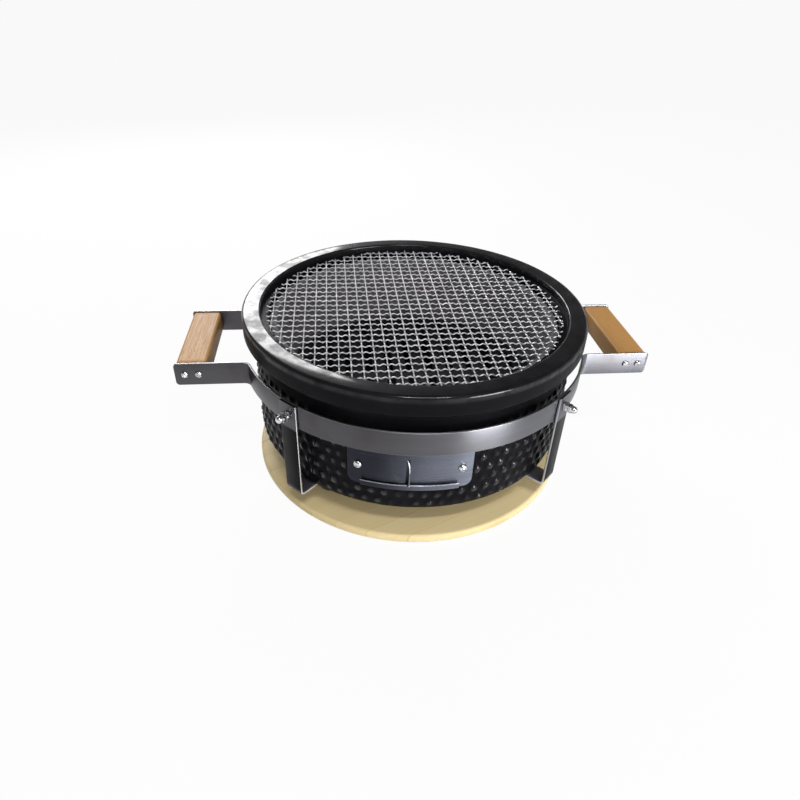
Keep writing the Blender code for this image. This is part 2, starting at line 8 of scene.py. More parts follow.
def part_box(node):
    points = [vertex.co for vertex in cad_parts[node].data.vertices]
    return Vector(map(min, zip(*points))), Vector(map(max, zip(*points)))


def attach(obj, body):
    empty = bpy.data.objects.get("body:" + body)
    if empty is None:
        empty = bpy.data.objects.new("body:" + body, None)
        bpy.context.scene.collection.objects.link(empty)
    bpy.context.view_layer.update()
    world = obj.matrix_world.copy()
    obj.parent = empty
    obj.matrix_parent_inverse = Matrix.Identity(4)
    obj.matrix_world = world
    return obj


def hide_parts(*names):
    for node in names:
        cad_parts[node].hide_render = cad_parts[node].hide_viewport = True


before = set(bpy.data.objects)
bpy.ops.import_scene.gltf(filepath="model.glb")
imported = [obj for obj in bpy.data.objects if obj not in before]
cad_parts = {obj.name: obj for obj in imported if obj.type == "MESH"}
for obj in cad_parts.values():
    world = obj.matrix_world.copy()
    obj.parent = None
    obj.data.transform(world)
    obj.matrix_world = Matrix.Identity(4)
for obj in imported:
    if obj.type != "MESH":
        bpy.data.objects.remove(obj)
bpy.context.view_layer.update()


class Wire:  # one output socket, sums on it add Math nodes
    def __init__(self, net, socket):
        self.net = net
        self.socket = socket

    def pick(self, name):  # another output of the same node
        return Wire(self.net, self.socket.node.outputs[name])

    def __add__(self, other):
        return self.net.sum("ADD", self, other)

    def __radd__(self, other):
        return self.net.sum("ADD", other, self)

    def __sub__(self, other):
        return self.net.sum("SUBTRACT", self, other)

    def __rsub__(self, other):
        return self.net.sum("SUBTRACT", other, self)

    def __mul__(self, other):
        return self.net.sum("MULTIPLY", self, other)

    def __rmul__(self, other):
        return self.net.sum("MULTIPLY", other, self)

    def __truediv__(self, other):
        return self.net.sum("DIVIDE", self, other)

    def __rtruediv__(self, other):
        return self.net.sum("DIVIDE", other, self)


class Net:  # the nodes of one tree
    def __init__(self, tree):
        self.tree = tree

    def add(self, kind, settings=None, inputs=None, out=0):
        node = self.tree.nodes.new(kind)
        for key, value in (settings or {}).items():
            setattr(node, key, value)
        for key, value in (inputs or {}).items():
            for single in value if isinstance(value, list) else [value]:
                self.feed(single, node.inputs[key])
        return Wire(self, node.outputs[out])

    def feed(self, value, socket):
        if isinstance(value, Wire):
            self.tree.links.new(value.socket, socket)
        elif socket.type == "RGBA" and len(value) == 3:
            socket.default_value = (*value, 1)
        else:
            socket.default_value = value

    def sum(self, operation, first, second=0.0):
        return self.add("ShaderNodeMath", {"operation": operation}, {0: first, 1: second})

    def ease(self, value, start, end, low=0.0, high=1.0):  # smooth step from low to high
        return self.add("ShaderNodeMapRange", {"interpolation_type": "SMOOTHSTEP"},
                        {"Value": value, "From Min": start, "From Max": end,
                         "To Min": low, "To Max": high})

    def mix(self, factor, first, second):
        return self.add("ShaderNodeMix", {"data_type": "RGBA"}, {0: factor, 6: first, 7: second}, out=2)

    def noise(self, place, scale, detail=3.0, rough=0.5, seed=0.0):
        return self.add("ShaderNodeTexNoise", {"noise_dimensions": "4D"},
                        {"Vector": place, "W": seed, "Scale": scale, "Detail": detail,
                         "Roughness": rough})

    def stretched(self, place, scale):
        return self.add("ShaderNodeMapping", None, {"Vector": place, "Scale": scale})

    def vector(self, **parts):
        return self.add("ShaderNodeCombineXYZ", None, parts)

    def split(self, vector):
        parts = self.add("ShaderNodeSeparateXYZ", None, {0: vector})
        return parts, parts.pick("Y"), parts.pick("Z")


class Finish(Net):  # a material, its fixed numbers on the shader's own sockets
    def __init__(self, name, look, fixed):
        self.material = bpy.data.materials.new(name)
        self.material.use_nodes = True
        super().__init__(self.material.node_tree)
        self.look = look
        self.shader = self.tree.nodes["Principled BSDF"]
        for key, value in fixed.items():
            self.shader.inputs[key].default_value = value
        self.place = self.add("ShaderNodeTexCoord").pick("Object")

    def grain(self, key, detail, rough, seed=0.0, place=None):  # noise at the look's scale for key
        scale = self.look[key]
        place = place or self.place
        if isinstance(scale, tuple):
            place, scale = self.stretched(place, scale), 1.0
        return self.noise(place, scale, detail, rough, seed)

    def graded(self, value, middle):  # the look's dark, mid and pale along value
        ramp = self.add("ShaderNodeValToRGB", None, {"Fac": value})
        stops = ramp.socket.node.color_ramp.elements
        stops.new(middle)
        for stop, key in zip(stops, ("dark", "mid", "pale")):
            stop.color = (*self.look[key], 1)
        return ramp

    def done(self, tone, uneven, height, more=None):  # uneven sets the roughness, height the bump
        rough = self.ease(uneven, 0.3, 0.7, self.look["smooth"], self.look["rough"])
        bump = self.add("ShaderNodeBump", None, {"Height": height, "Distance": self.look["depth"]})
        links = {"Base Color": tone, "Roughness": rough, "Normal": bump, **(more or {})}
        for key, value in links.items():
            self.feed(value, self.shader.inputs[key])
        return self.material


glazeLook = {"tone": (0.0045, 0.0043, 0.0056), "wearAndHighlight": (0.009, 0.0085, 0.0105), "cloud": 14.0,
             "speck": 420.0, "smooth": 0.36, "rough": 0.5, "specular": 0.05, "coatRough": 0.11,
             "patches": 55.0, "rimCoat": 0.75, "rimLevel": 0.1715, "crownCoat": 1.0,
             "crown": 0.1692, "crownRise": 0.0018, "crownTop": 0.148, "fade": 0.004,
             "peel": 160.0, "depth": 0.00008}


def makeGlaze():  # satin, with a gloss coat on the rim and the bumps' crowns
    look = glazeLook
    net = Finish("satinBlackGlaze", look, {"Specular IOR Level": look["specular"],
                                           "Coat Roughness": look["coatRough"]})
    x, y, z = net.split(net.place)
    cloud = net.grain("cloud", 4.0, 0.55)
    speck = net.grain("speck", 2.0, 0.6, 3.0)
    tone = net.mix(net.ease(cloud, 0.4, 0.75), look["tone"], look["wearAndHighlight"])
    rim = net.ease(z, look["rimLevel"], look["rimLevel"] + look["fade"])
    patches = net.ease(net.grain("patches", 5.0, 0.65, 8.0), 0.38, 0.6, 0.35, 1.0)
    out = net.sum("SQRT", x * x + y * y)
    crowns = net.ease(out, look["crown"], look["crown"] + look["crownRise"]) * (1.0 - rim)
    low = net.ease(z, look["crownTop"], look["crownTop"] + look["fade"], 1.0, 0.0)
    coat = rim * patches * look["rimCoat"] + crowns * look["crownCoat"] * low
    peel = net.grain("peel", 3.0, 0.5, 7.0)
    return net.done(tone, cloud * 0.7 + speck * 0.3, peel, {"Coat Weight": coat})


clayLook = {"dark": (0.13, 0.125, 0.13), "pale": (0.24, 0.235, 0.24), "lowTone": (0.03, 0.028, 0.028),
            "lowToneLevel": 0.092, "lowToneFade": 0.03, "lowToneAmount": 0.55, "grain": 700.0, "cloud": 25.0,
            "smooth": 0.75, "rough": 0.95, "depth": 0.0006}


def makeFireclay():  # darker towards the bottom
    look = clayLook
    net = Finish("greyFireclay", look, {"Specular IOR Level": 0.2})
    grain = net.grain("grain", 3.0, 0.6)
    cloud = net.grain("cloud", 4.0, 0.5, 2.0)
    tone = net.mix(cloud * 0.6 + grain * 0.4, look["dark"], look["pale"])
    level = net.split(net.place)[2] + cloud * look["lowToneFade"]
    lowTone = net.ease(level, look["lowToneLevel"], look["lowToneLevel"] + look["lowToneFade"], 1.0, 0.0)
    return net.done(net.mix(lowTone * look["lowToneAmount"], tone, look["lowTone"]), grain, grain + cloud)


ironLook = {"dark": (0.010, 0.010, 0.011), "pale": (0.028, 0.027, 0.028), "ash": (0.12, 0.115, 0.11),
            "dust": 0.25, "grain": 380.0, "cloud": 30.0, "smooth": 0.45, "rough": 0.75,
            "depth": 0.0008}


def makeCastIron():
    look = ironLook
    net = Finish("blackCastIron", look, {"Metallic": 0.4, "Specular IOR Level": 0.4})
    grain = net.grain("grain", 4.0, 0.65)
    cloud = net.grain("cloud", 3.0, 0.5, 5.0)
    tone = net.mix(grain, look["dark"], look["pale"])
    dust = net.ease(cloud, 0.55, 0.8, 0.0, look["dust"])
    return net.done(net.mix(dust, tone, look["ash"]), cloud, grain)


wireLook = {"bright": (0.70, 0.70, 0.72), "dull": (0.44, 0.44, 0.46), "spots": 260.0, "cloud": 35.0,
            "smooth": 0.28, "rough": 0.5, "depth": 0.0001}


def makeMeshWire():
    look = wireLook
    net = Finish("galvanisedWire", look, {"Metallic": 0.85, "Specular IOR Level": 0.5})
    spots = net.grain("spots", 3.0, 0.6)
    cloud = net.grain("cloud", 2.0, 0.5, 4.0)
    bright = net.ease(spots * 0.6 + cloud * 0.4, 0.35, 0.65)
    return net.done(net.mix(bright, look["dull"], look["bright"]), spots, spots)


# painted shade darkens the left side of the strip steels, most on the vent
strapSteel = {"pale": (0.29, 0.295, 0.325), "dark": (0.12, 0.118, 0.13), "smear": (0.15, 0.135, 0.13),
              "edge": (0.66, 0.66, 0.70), "edgeHighlight": 0.6, "leftShadeTone": (0.055, 0.048, 0.05),
              "leftShade": 0.6, "leftShadeFrom": -0.05, "leftShadeTo": 0.06, "lines": (9.0, 2600.0, 1.0),
              "broad": (6.0, 120.0, 1.0), "smears": 22.0, "smooth": 0.30, "rough": 0.44,
              "depth": 0.00003}
# the leg steel has a painted shade band, near black, from the foot plate up to the strap
legSteel = {**strapSteel, "edgeHighlight": 0.85, "black": (0.004, 0.0038, 0.0042), "blackFrom": 0.040,
            "blackTo": 0.120}
ventSteel = {**strapSteel, "pale": (0.28, 0.30, 0.36), "dark": (0.10, 0.11, 0.145),
             "smear": (0.13, 0.14, 0.18), "smooth": 0.24, "rough": 0.36,
             "leftShadeTone": (0.018, 0.018, 0.026), "leftShade": 0.92, "leftShadeFrom": -0.058, "leftShadeTo": 0.012}


def makeSteel(name, look):  # brush lines run along the strip, the sheen across them
    net = Finish(name, look, {"Metallic": 1.0, "Anisotropic": 0.9, "Anisotropic Rotation": 0.25})
    flow = net.add("ShaderNodeUVMap", {"uv_map": "flow"})
    across = net.split(net.add("ShaderNodeUVMap", {"uv_map": "across"}))[0]
    x, _, z = net.split(net.place)
    lines = net.grain("lines", 4.0, 0.6, place=flow)
    broad = net.grain("broad", 3.0, 0.5, 2.0, flow)
    smears = net.grain("smears", 4.0, 0.6, 6.0)
    tone = net.mix(lines * 0.65 + broad * 0.35, look["dark"], look["pale"])
    tone = net.mix(net.ease(smears, 0.5, 0.75, 0.0, 0.5), tone, look["smear"])
    leftShade = net.ease(x + (smears - 0.5) * 0.03, look["leftShadeFrom"], look["leftShadeTo"], look["leftShade"], 0.0)
    tone = net.mix(leftShade, tone, look["leftShadeTone"])  # painted shade, darker to the left
    more = {}
    if "black" in look:  # painted shade, near black, between the foot plate and the strap
        level = z + smears * 0.004
        above = net.ease(level, look["blackFrom"], look["blackFrom"] + 0.006)
        below = net.ease(level, look["blackTo"] - 0.003, look["blackTo"], 1.0, 0.0)
        tone = net.mix(above * below, tone, look["black"])
        more["Metallic"] = above * 0.3 + 0.7
    # painted highlight: the strip's rounded edges turn pale
    wearAndHighlight = net.ease(net.sum("ABSOLUTE", across), 0.965, 0.99) * look["edgeHighlight"]
    tone = net.mix(wearAndHighlight, tone, look["edge"])
    return net.done(tone, lines * 0.5 + smears * 0.5, lines, more)


boltLook = {"pale": (0.82, 0.82, 0.84), "dull": (0.55, 0.55, 0.57), "cloud": 300.0,
            "smooth": 0.14, "rough": 0.3, "depth": 0.00005}


def makeBrightSteel():
    look = boltLook
    net = Finish("brightPlatedSteel", look, {"Metallic": 1.0})
    cloud = net.grain("cloud", 3.0, 0.55)
    return net.done(net.mix(net.ease(cloud, 0.35, 0.7), look["pale"], look["dull"]), cloud, cloud)


oakLook = {"pale": (0.60, 0.345, 0.12), "mid": (0.52, 0.258, 0.072), "dark": (0.41, 0.175, 0.042),
           "pore": (0.28, 0.11, 0.026), "bend": (30.0, 6.0, 30.0), "rings": (1.0, 0.06, 0.7),
           "ringScale": 95.0, "fibres": (900.0, 28.0, 900.0), "pores": (1500.0, 60.0, 1500.0),
           "smooth": 0.44, "rough": 0.58, "depth": 0.00008}


def makeHandleWood():  # the grain runs along Y, as the handles do
    look = oakLook
    net = Finish("oiledHandleWood", look, {"Specular IOR Level": 0.34})
    bend = net.grain("bend", 2.0, 0.5)
    rings = net.add("ShaderNodeTexWave", {"wave_type": "BANDS", "bands_direction": "X"},
                    {"Vector": net.stretched(net.place, look["rings"]), "Scale": look["ringScale"],
                     "Distortion": 5.0, "Detail": 3.0, "Detail Scale": 1.4}, out="Fac")
    fibres = net.grain("fibres", 3.0, 0.6, 3.0)
    pores = net.ease(net.grain("pores", 2.0, 0.5, 9.0), 0.62, 0.7)
    tone = net.mix(pores * 0.5, net.graded(rings * 0.3 + fibres * 0.4 + bend * 0.4, 0.45),
                         look["pore"])
    return net.done(tone, fibres, fibres - pores * 0.8)


pineLook = {"pale": (0.78, 0.64, 0.36), "mid": (0.72, 0.56, 0.28), "dark": (0.58, 0.42, 0.18),
            "glue": (0.45, 0.31, 0.12), "strip": 0.026, "start": 0.006, "turn": 25.0,
            "waves": (0.05, 1.0, 0.6), "waveScale": 60.0, "fibres": (12.0, 700.0, 700.0),
            "cloud": (4.0, 30.0, 30.0), "smooth": 0.45, "rough": 0.62, "depth": 0.00015}


def makePine():  # strips glued side by side, each in its own shade
    look = pineLook
    net = Finish("palePine", look, {"Specular IOR Level": 0.35})
    turn = (0, 0, math.radians(-look["turn"]))
    x, y, z = net.split(net.add("ShaderNodeMapping", None, {"Vector": net.place, "Rotation": turn}))
    count = (y - look["start"]) / look["strip"]
    across = net.sum("FRACT", count)
    pick = net.add("ShaderNodeTexWhiteNoise", {"noise_dimensions": "1D"},
                   {"W": net.sum("FLOOR", count)}, out="Value")
    shifted = net.vector(X=x + pick * 3.0, Y=y, Z=z)
    waves = net.add("ShaderNodeTexWave", {"wave_type": "BANDS", "bands_direction": "Y"},
                    {"Vector": net.stretched(shifted, look["waves"]), "Scale": look["waveScale"],
                     "Distortion": 9.0, "Detail": 2.0, "Detail Scale": 1.0}, out="Fac")
    fibres = net.grain("fibres", 3.0, 0.6, place=shifted)
    cloud = net.grain("cloud", 3.0, 0.5, 2.0, shifted)
    paler = net.ease(across, 0.0, 0.6, 0.0, 0.22)
    grain = net.graded(waves * 0.12 + fibres * 0.15 + cloud * 0.3 + pick * 0.2 + 0.2 + paler, 0.35)
    joint = net.ease(across, 0.0, 0.06, 1.0, 0.0)
    tone = net.mix(joint * (pick * 0.6 + 0.1), grain, look["glue"])
    return net.done(tone, fibres, fibres - joint)


rubberLook = {"dark": (0.012, 0.011, 0.010), "pale": (0.03, 0.027, 0.025), "cloud": 120.0,
              "smooth": 0.6, "rough": 0.85, "depth": 0.0002}


def makeRubber():
    look = rubberLook
    net = Finish("blackRubber", look, {"Specular IOR Level": 0.3})
    cloud = net.grain("cloud", 4.0, 0.6)
    return net.done(net.mix(cloud, look["dark"], look["pale"]), cloud, cloud)


def rounded(corners, steps=6):  # (a, b, radius) corners become arcs
    outline = []
    for index, (a, b, radius) in enumerate(corners):
        here = Vector((a, b))
        if radius <= 0:
            outline.append(here)
            continue
        before = (Vector(corners[index - 1][:2]) - here).normalized()
        after = (Vector(corners[(index + 1) % len(corners)][:2]) - here).normalized()
        half = before.angle(after) / 2
        reach = radius / math.tan(half)
        centre = here + (before + after).normalized() * (radius / math.sin(half))
        start = here + before * reach - centre
        sweep = start.angle_signed(here + after * reach - centre)
        for step in range(steps + 1):
            outline.append(centre + Matrix.Rotation(-sweep * step / steps, 2) @ start)
    return outline


def roundedBox(low, high, radius, steps):
    return rounded([(low[0], low[1], radius), (high[0], low[1], radius),
                    (high[0], high[1], radius), (low[0], high[1], radius)], steps)


def linked(name, data):
    made = bpy.data.objects.new(name, data)
    bpy.context.collection.objects.link(made)
    return made


def softened(thing, sharp):  # smooth, but for edges that turn by more than sharp
    thing.data.shade_smooth()
    thing.data.set_sharp_from_angle(angle=math.radians(sharp))
    return thing


def addMesh(name, bm, finish, sharp=35.0):
    bmesh.ops.remove_doubles(bm, verts=bm.verts, dist=1e-6)
    bmesh.ops.recalc_face_normals(bm, faces=bm.faces)
    mesh = bpy.data.meshes.new(name)
    bm.to_mesh(mesh)
    bm.free()
    mesh.materials.append(finish)
    return softened(linked(name, mesh), sharp)


def skinRows(rows, ring):  # rows of points, skinned into a closed solid
    bm = bmesh.new()
    made = [[bm.verts.new(point) for point in row] for row in rows]
    pairs = list(zip(made, made[1:]))
    if ring:
        pairs.append((made[-1], made[0]))
    for lower, upper in pairs:
        for index in range(len(lower)):
            following = (index + 1) % len(lower)
            bm.faces.new((lower[index], lower[following], upper[following], upper[index]))
    if not ring:
        bm.faces.new(made[0])
        bm.faces.new(made[-1])
    return bm


def spun(outline, angle):  # (r, z) outline, turned about Z
    return [(r * math.cos(angle), r * math.sin(angle), z) for r, z in outline]


def turned(name, outline, finish, steps):
    rows = [spun(outline, 2 * math.pi * step / steps) for step in range(steps)]
    return addMesh(name, skinRows(rows, True), finish)


def radial(degrees):
    return Vector((math.cos(math.radians(degrees)), math.sin(math.radians(degrees)), 0))


def plain(host):  # evaluated object as a plain mesh, host removed
    graph = bpy.context.evaluated_depsgraph_get()
    mesh = bpy.data.meshes.new_from_object(host.evaluated_get(graph))
    name = host.name
    bpy.data.objects.remove(host, do_unlink=True)
    mesh.name = name
    return linked(name, mesh)


def unwrap(bm, names, spots):  # spots gives a corner's place on each of the named maps
    layers = [bm.loops.layers.uv.new(name) for name in names]
    for face in bm.faces:
        for loop in face.loops:
            for layer, spot in zip(layers, spots(loop.vert)):
                loop[layer].uv = spot


stripEdge = 0.0004  # rounding of the edges of bent strips


def strip(path, spans, thickness, place):  # flat strip bent along path, spans give its two edges
    sections = []
    flows = []
    run = 0.0
    half = thickness / 2
    for index, here in enumerate(path):
        before = path[max(index - 1, 0)]
        after = path[min(index + 1, len(path) - 1)]
        run += (here - before).length
        into = (here - before) if index else (after - here)
        outOf = (after - here) if index < len(path) - 1 else into
        mitre = (into.normalized() + outOf.normalized()).normalized()
        normal = Vector((-mitre.y, mitre.x))
        widen = 1 / max(mitre.dot(into.normalized()), 0.5)
        low, high = spans[index]
        sections.append([])
        for offset, width in roundedBox((-half, low), (half, high), stripEdge, 2):
            spot = here + normal * offset * widen
            sections[-1].append(place(spot.x, spot.y, width))
            flows.append(((run, width), (2 * (width - low) / (high - low) - 1, 0)))
    bm = skinRows(sections, False)
    bm.verts.index_update()
    unwrap(bm, ("flow", "across"), lambda vert: flows[vert.index])
    return bm


def bendArc(centre, radius, first, last, steps):
    return [centre + Vector((math.cos(first + (last - first) * k / steps),
                             math.sin(first + (last - first) * k / steps))) * radius
            for k in range(steps + 1)]


def bendCorner(start, corner, end, steps):  # from start, which is left out, round to end
    made = []
    for k in range(1, steps + 1):
        t = k / steps
        made.append(start * (1 - t) ** 2 + corner * 2 * t * (1 - t) + end * t * t)
    return made


def newTree(name, values):  # a geometry node tree with an input for each value
    tree = bpy.data.node_groups.new(name, "GeometryNodeTree")
    kinds = {float: "NodeSocketFloat", int: "NodeSocketInt", bpy.types.Material: "NodeSocketMaterial"}
    tree.interface.new_socket("Geometry", in_out="INPUT", socket_type="NodeSocketGeometry")
    for label, value in values.items():
        tree.interface.new_socket(label, in_out="INPUT", socket_type=kinds[type(value)])
    tree.interface.new_socket("Geometry", in_out="OUTPUT", socket_type="NodeSocketGeometry")
    net = Net(tree)
    net.values = values
    start = tree.nodes.new("NodeGroupInput")
    net.given = {socket.name: Wire(net, socket) for socket in start.outputs if socket.name}
    return net, net.given


def runTree(host, net, result):  # ends the tree, runs it on host and keeps the mesh
    tree = net.tree
    real = net.add("GeometryNodeRealizeInstances", None, {0: result})
    painted = net.add("GeometryNodeSetMaterial", None,
                      {"Geometry": real, "Material": net.given["Finish"]})
    end = tree.nodes.new("NodeGroupOutput")
    net.feed(painted, end.inputs[0])
    step = host.modifiers.new(tree.name, "NODES")
    step.node_group = tree
    for item in tree.interface.items_tree:
        if item.in_out == "INPUT" and item.name in net.values:
            step[item.identifier] = net.values[item.name]
    return plain(host)


def pointHost(name, places):  # points with the direction each one faces
    mesh = bpy.data.meshes.new(name)
    mesh.from_pydata([place for place, out in places], [], [])
    outward = mesh.attributes.new("outward", "FLOAT_VECTOR", "POINT")
    outward.data.foreach_set("vector", [value for place, out in places for value in out])
    return linked(name, mesh)


def standOn(net, points, thing, seed):  # thing on each point, its +Z outward, turned at random
    outward = net.add("GeometryNodeInputNamedAttribute", {"data_type": "FLOAT_VECTOR"},
                      {"Name": "outward"})
    facing = net.add("FunctionNodeAlignRotationToVector", {"axis": "Z"}, {"Vector": outward})
    turn = net.add("FunctionNodeRandomValue", {"data_type": "FLOAT"},
                   {2: 0.0, 3: math.pi, "Seed": seed}, out=1)
    spin = net.add("FunctionNodeEulerToRotation", None, {0: net.vector(Z=turn)})
    posed = net.add("FunctionNodeRotateRotation", {"rotation_space": "LOCAL"},
                    {"Rotation": facing, "Rotate By": spin})
    return net.add("GeometryNodeInstanceOnPoints", None,
                   {"Points": points, "Instance": thing, "Rotation": posed})


def moved(net, thing, place, scale=(1, 1, 1)):
    return net.add("GeometryNodeTransform", None,
                   {"Geometry": thing, "Translation": place, "Scale": scale})


def column(net, radius, low, high, sides):  # cylinder between two heights
    made = net.add("GeometryNodeMeshCylinder", None,
                   {"Vertices": sides, "Radius": radius, "Depth": high - low})
    return moved(net, made, net.vector(Z=(low + high) * 0.5))


def ball(net, wide, tall, level):
    made = net.add("GeometryNodeMeshUVSphere", None, {"Segments": 32, "Rings": 16, "Radius": 1.0})
    return moved(net, made, net.vector(Z=level), net.vector(X=wide, Y=wide, Z=tall))


def common(net, first, second):  # what two solids share
    return net.add("GeometryNodeMeshBoolean", {"operation": "INTERSECT", "solver": "EXACT"},
                   {"Mesh 2": [first, second]})


def screwSet(name, places, sizes, finish):  # round cross-recess screws, heads seated on the points
    values = {**sizes, "Finish": finish}
    net, given = newTree(name + "Tree", values)
    tall = given["Head Height"]
    head = ball(net, given["Head Radius"], tall, 0.0)
    dome = common(net, head, column(net, given["Head Radius"] * 2.0, tall * 0.02, tall * 2.0, 12))
    lift = net.vector(Z=tall * 1.5 - given["Recess Depth"])
    arms = []
    for along, across in (("Y", "X"), ("X", "Y")):
        size = net.vector(**{across: given["Recess Width"], along: given["Recess Length"], "Z": tall})
        arms.append(moved(net, net.add("GeometryNodeMeshCube", None, {"Size": size}), lift))
    crossed = net.add("GeometryNodeMeshBoolean", {"operation": "DIFFERENCE", "solver": "EXACT"},
                      {"Mesh 2": arms, "Mesh 1": dome})
    shank = column(net, given["Shank Radius"], given["Shank Length"] * -1.0, tall * 0.3, 16)
    whole = net.add("GeometryNodeJoinGeometry", None, {0: [crossed, shank]})
    placed = standOn(net, given["Geometry"], whole, given["Seed"])
    return softened(runTree(pointHost(name, places), net, placed), 30.0)


bowl = {"wallRadius": 0.1685, "wall": 0.016, "floor": 0.0135, "corner": 0.008, "collar": 0.020,
        "undercut": 0.010, "rimRound": 0.004, "rimWidth": 0.019, "ledgeDepth": 0.0087,
        "cove": 0.001, "ringRadius": 0.116, "ringRecess": 0.003, "rowStep": 0.0016, "steps": 680}
hammer = {"Bumps Round": 84, "Row Height": 0.0121, "Bump Height": 0.0023, "Low Edge": 0.043,
          "High Edge": 0.138, "Fade": 0.008, "Wander": 0.5, "Wander Scale": 45.0,
          "Uneven Scale": 75.0, "Lowest": 0.55, "Highest": 1.15, "Seed": 4.0}
vent = {"angle": -96.9, "level": 0.0914, "halfWidth": 20.3, "halfHeight": 0.0232, "corner": 0.008,
        "inner": 0.1688, "plate": 0.0015, "plateEdge": 0.0003, "fit": 0.0003, "trackHalf": 15.5,
        "railInside": 0.019, "railWall": 0.003, "railFold": 0.0034, "railSink": 0.0003,
        "lip": 0.0014, "lipGap": 0.0006, "doorWidth": 14.6, "doorThickness": 0.0012,
        "ear": 0.0066, "earTurn": 0.008, "earStart": 0.001, "earRise": 0.0155,
        "earSweep": 0.013, "earRound": 0.003, "earLean": 0.0034, "portAngle": -104.2,
        "portWidth": 0.034, "portLow": 0.0764, "portHigh": 0.1064, "screwAngle": 16.6,
        "screwLift": 0.0002}


def cutPort(target, near, far, bottom):  # the air port through a wall, between two radii
    half = vent["portWidth"] / 2
    low = Vector((near, -half, bottom))
    high = Vector((far, half, vent["portHigh"]))
    turn = Matrix.Rotation(math.radians(vent["portAngle"]), 3, "Z")
    bm = bmesh.new()
    bmesh.ops.create_cube(bm, size=1)
    bmesh.ops.scale(bm, vec=high - low, verts=bm.verts)
    bmesh.ops.translate(bm, vec=(high + low) / 2, verts=bm.verts)
    bmesh.ops.rotate(bm, cent=(0, 0, 0), matrix=turn, verts=bm.verts)
    box = addMesh("portCutter", bm, target.data.materials[0])
    step = target.modifiers.new("cut", "BOOLEAN")
    step.operation = "DIFFERENCE"
    step.solver = "EXACT"
    step.object = box
    done = plain(target)
    bpy.data.objects.remove(box, do_unlink=True)
    return done


def makeBowl(finish):  # turned, hammered by a node tree, then the port is cut
    low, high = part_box("ceramic_bowl")
    base, top, rim = low.z, high.z, high.x
    wall = bowl["wallRadius"]
    inner = wall - bowl["wall"]
    ledge = top - bowl["ledgeDepth"]
    floor = base + bowl["floor"]
    recess = bowl["ringRecess"]
    outline = rounded([
        (0, base + recess, 0),
        (bowl["ringRadius"] - recess, base + recess, 0.002),
        (bowl["ringRadius"], base, 0.001),
        (wall, base, bowl["corner"]),
        (wall, top - bowl["collar"] - bowl["undercut"], bowl["undercut"] / 2),
        (rim, top - bowl["collar"], bowl["undercut"] / 3),
        (rim, top, bowl["rimRound"]),
        (rim - bowl["rimWidth"], top, bowl["rimRound"] / 2),
        (rim - bowl["rimWidth"], ledge, 0.001),
        (inner, ledge, bowl["rimRound"] / 3),
        (inner, floor, bowl["cove"]),
        (0, floor, 0)])
    dense = []
    for here, after in zip(outline, outline[1:] + outline[:1]):
        dense.append(here)
        gap = after - here
        if abs(here.x - wall) < 1e-5 and abs(after.x - wall) < 1e-5:  # close rows for the bumps
            pieces = int(gap.length / bowl["rowStep"])
            dense += [here + gap * k / pieces for k in range(1, pieces)]
    made = hammered(turned("clayBowl", dense, finish, bowl["steps"]), finish)
    return softened(cutPort(made, inner - 0.01, wall + 0.01, vent["portLow"]), 40.0)


def hammered(host, finish):  # bumps in staggered rows, the wall flat behind the vent
    values = {**hammer, "Wall Radius": bowl["wallRadius"],
              "Vent Angle": math.radians(vent["angle"]),
              "Vent Half Width": math.radians(vent["halfWidth"]),
              "Vent Half Height": vent["halfHeight"], "Vent Level": vent["level"], "Finish": finish}
    net, given = newTree("hammeredWall", values)
    place = net.add("GeometryNodeInputPosition")
    x, y, z = net.split(place)
    wander = net.noise(place, given["Wander Scale"], 1.0, 0.5, given["Seed"])
    sway, swayUp, _ = net.split(wander.pick("Color"))
    angle = net.sum("ARCTAN2", y, x)
    radius = net.sum("SQRT", x * x + y * y)
    around = angle * given["Bumps Round"] / (2 * math.pi) + (sway - 0.5) * given["Wander"]
    up = z / given["Row Height"] + (swayUp - 0.5) * given["Wander"]
    waves = [net.sum("COSINE", (around - up * 0.5) * 2 * math.pi),
             net.sum("COSINE", (around + up * 0.5) * 2 * math.pi),
             net.sum("COSINE", up * 2 * math.pi)]
    height = (waves[0] + waves[1] + waves[2] + 1.5) / 4.5  # their sum, brought to 0 to 1
    dome = net.ease(height, 0.12, 0.92)
    patchy = net.noise(place, given["Uneven Scale"], 0.0, 0.5, given["Seed"] + 5.0)
    uneven = net.ease(patchy, 0.3, 0.7, given["Lowest"], given["Highest"])
    low = net.ease(z, given["Low Edge"], given["Low Edge"] + given["Fade"])
    high = net.ease(z, given["High Edge"] - given["Fade"], given["High Edge"], 1.0, 0.0)
    outside = net.ease(radius, given["Wall Radius"] - 0.006, given["Wall Radius"] - 0.004)
    besideVent = net.ease(net.sum("ABSOLUTE", angle - given["Vent Angle"]),
                          given["Vent Half Width"], given["Vent Half Width"] + 0.02)
    overVent = net.ease(net.sum("ABSOLUTE", z - given["Vent Level"]),
                        given["Vent Half Height"], given["Vent Half Height"] + 0.003)
    flat = net.sum("MAXIMUM", besideVent, overVent)
    rise = dome * uneven * low * high * outside * flat * given["Bump Height"] / radius
    raised = net.add("GeometryNodeSetPosition", None,
                     {"Geometry": given["Geometry"], "Offset": net.vector(X=x * rise, Y=y * rise)})
    return runTree(host, net, raised)


liner = {"wall": 0.007, "taper": 0.003, "ledge": 0.007, "foot": 0.0015, "lip": 0.0015,
         "portLow": 0.058, "grateFit": 0.0003}


def makeLiner(finish):  # the fire bowl, with a shelf for the grate
    low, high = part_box("fire_bowl")
    outer = high.x
    inner = outer - liner["wall"]
    seat = inner - liner["taper"]
    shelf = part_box("charcoal_grate")[0].z - liner["grateFit"]
    outline = rounded([
        (seat - liner["ledge"], low.z, 0.001),
        (outer, low.z, liner["foot"]),
        (outer, high.z, liner["lip"]),
        (inner, high.z, liner["lip"]),
        (seat, shelf, 0.001),
        (seat - liner["ledge"], shelf, 0.001)])
    made = turned("fireBowl", outline, finish, 220)
    return softened(cutPort(made, seat - 0.014, outer + 0.01, liner["portLow"]), 35.0)


